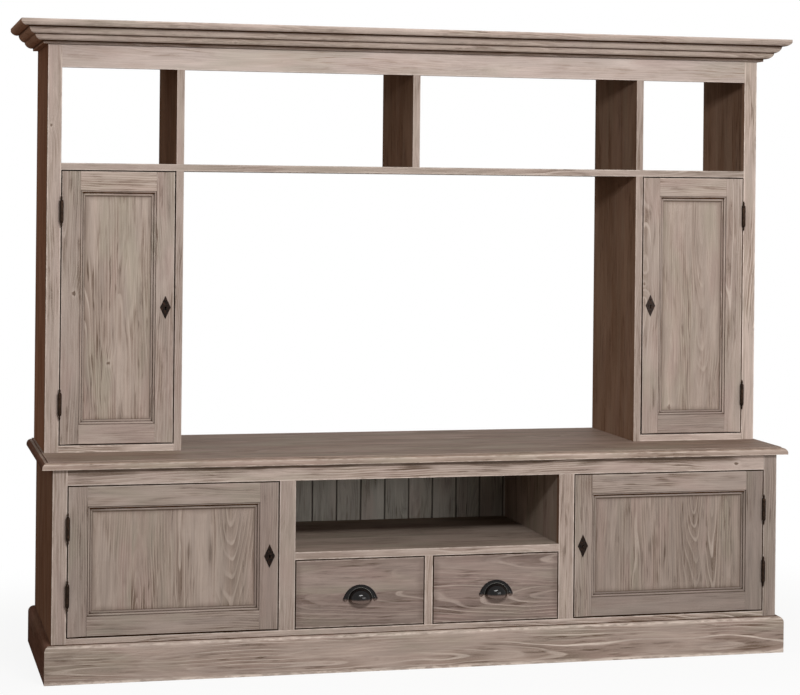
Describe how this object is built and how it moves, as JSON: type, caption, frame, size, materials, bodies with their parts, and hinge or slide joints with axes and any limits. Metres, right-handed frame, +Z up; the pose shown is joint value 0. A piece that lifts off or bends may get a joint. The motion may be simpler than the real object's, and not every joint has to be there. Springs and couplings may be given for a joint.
{
  "type": "tv cabinet",
  "caption": "Wide television cabinet in two stages: low base with cupboards, niche and drawers; upper stage with narrow cupboards beside an open bay, open compartments and cornice.",
  "frame": {"origin": "on the floor, in the middle of the cabinet's overall width and depth", "axes": "+X to the right seen from the front, -Y towards the front, +Z up"},
  "size_m": [2.34, 0.608, 1.852],
  "materials": {
    "pine": "weathered, waxed",
    "pine_inside": "weathered, unpolished",
    "iron": "dark, waxed",
    "pull_iron": "black, polished"
  },
  "bodies": {
    "cabinet": {"plinth_front": "pine", "plinth_returns": "pine", "base_side_right": "pine", "base_side_left": "pine", "base_bottom": "pine_inside", "partition_right": "pine", "partition_left": "pine", "base_stiles": "pine", "base_mid_stiles": "pine", "base_top_rail": "pine", "base_bottom_rail": "pine", "niche_shelf": "pine", "drawer_divider": "pine", "base_back_boards": "pine", "base_top": "pine", "tower_bottoms": "pine", "hutch_side_right": "pine", "hutch_side_left": "pine", "tower_panel_right": "pine", "tower_panel_left": "pine", "hutch_shelf": "pine", "upper_dividers": "pine", "hutch_top": "pine_inside", "frieze_rail": "pine", "hutch_stiles": "pine", "tower_back_boards": "pine", "cornice_front": "pine", "cornice_returns": "pine", "loose_shelves": "pine_inside", "shelf_cleats": "pine_inside", "hinge_frame_leaves": "iron", "drawer_stops": "pine_inside"},
    "base_door_right": {"base_door_right_frame": "pine", "base_door_right_panel": "pine", "base_door_right_hinge_leaves": "iron", "base_door_right_lock": "iron"},
    "base_door_right_bolt_body": {"base_door_right_bolt": "iron"},
    "base_door_left": {"base_door_left_frame": "pine", "base_door_left_panel": "pine", "base_door_left_hinge_leaves": "iron", "base_door_left_lock": "iron"},
    "base_door_left_bolt_body": {"base_door_left_bolt": "iron"},
    "tower_door_right": {"tower_door_right_frame": "pine", "tower_door_right_panel": "pine", "tower_door_right_hinge_leaves": "iron", "tower_door_right_lock": "iron"},
    "tower_door_right_bolt_body": {"tower_door_right_bolt": "iron"},
    "tower_door_left": {"tower_door_left_frame": "pine", "tower_door_left_panel": "pine", "tower_door_left_hinge_leaves": "iron", "tower_door_left_lock": "iron"},
    "tower_door_left_bolt_body": {"tower_door_left_bolt": "iron"},
    "drawer_right": {"drawer_right_front": "pine", "drawer_right_box": "pine_inside", "drawer_right_bottom": "pine_inside", "drawer_right_pull": "pull_iron"},
    "drawer_left": {"drawer_left_front": "pine", "drawer_left_box": "pine_inside", "drawer_left_bottom": "pine_inside", "drawer_left_pull": "pull_iron"}
  },
  "joints": [
    {"name": "base_door_right_hinge", "type": "hinge", "parent": "cabinet", "child": "base_door_right", "pos_m": [1.0374, -0.283, 0.336], "axis": [0, 0, 1], "range_deg": [0, 170]},
    {"name": "base_door_right_bolt_slide", "type": "slide", "parent": "base_door_right", "child": "base_door_right_bolt_body", "axis": [-1, 0, 0], "range_m": [0, 0.009]},
    {"name": "base_door_left_hinge", "type": "hinge", "parent": "cabinet", "child": "base_door_left", "pos_m": [-1.0374, -0.283, 0.336], "axis": [0, 0, -1], "range_deg": [0, 170]},
    {"name": "base_door_left_bolt_slide", "type": "slide", "parent": "base_door_left", "child": "base_door_left_bolt_body", "axis": [1, 0, 0], "range_m": [0, 0.009]},
    {"name": "tower_door_right_hinge", "type": "hinge", "parent": "cabinet", "child": "tower_door_right", "pos_m": [1.0464, -0.087, 1.031], "axis": [0, 0, 1], "range_deg": [0, 170]},
    {"name": "tower_door_right_bolt_slide", "type": "slide", "parent": "tower_door_right", "child": "tower_door_right_bolt_body", "axis": [-1, 0, 0], "range_m": [0, 0.009]},
    {"name": "tower_door_left_hinge", "type": "hinge", "parent": "cabinet", "child": "tower_door_left", "pos_m": [-1.0464, -0.087, 1.031], "axis": [0, 0, -1], "range_deg": [0, 170]},
    {"name": "tower_door_left_bolt_slide", "type": "slide", "parent": "tower_door_left", "child": "tower_door_left_bolt_body", "axis": [1, 0, 0], "range_m": [0, 0.009]},
    {"name": "drawer_right_slide", "type": "slide", "parent": "cabinet", "child": "drawer_right", "axis": [0, -1, 0], "range_m": [0, 0.35]},
    {"name": "drawer_left_slide", "type": "slide", "parent": "cabinet", "child": "drawer_left", "axis": [0, -1, 0], "range_m": [0, 0.35]}
  ]
}
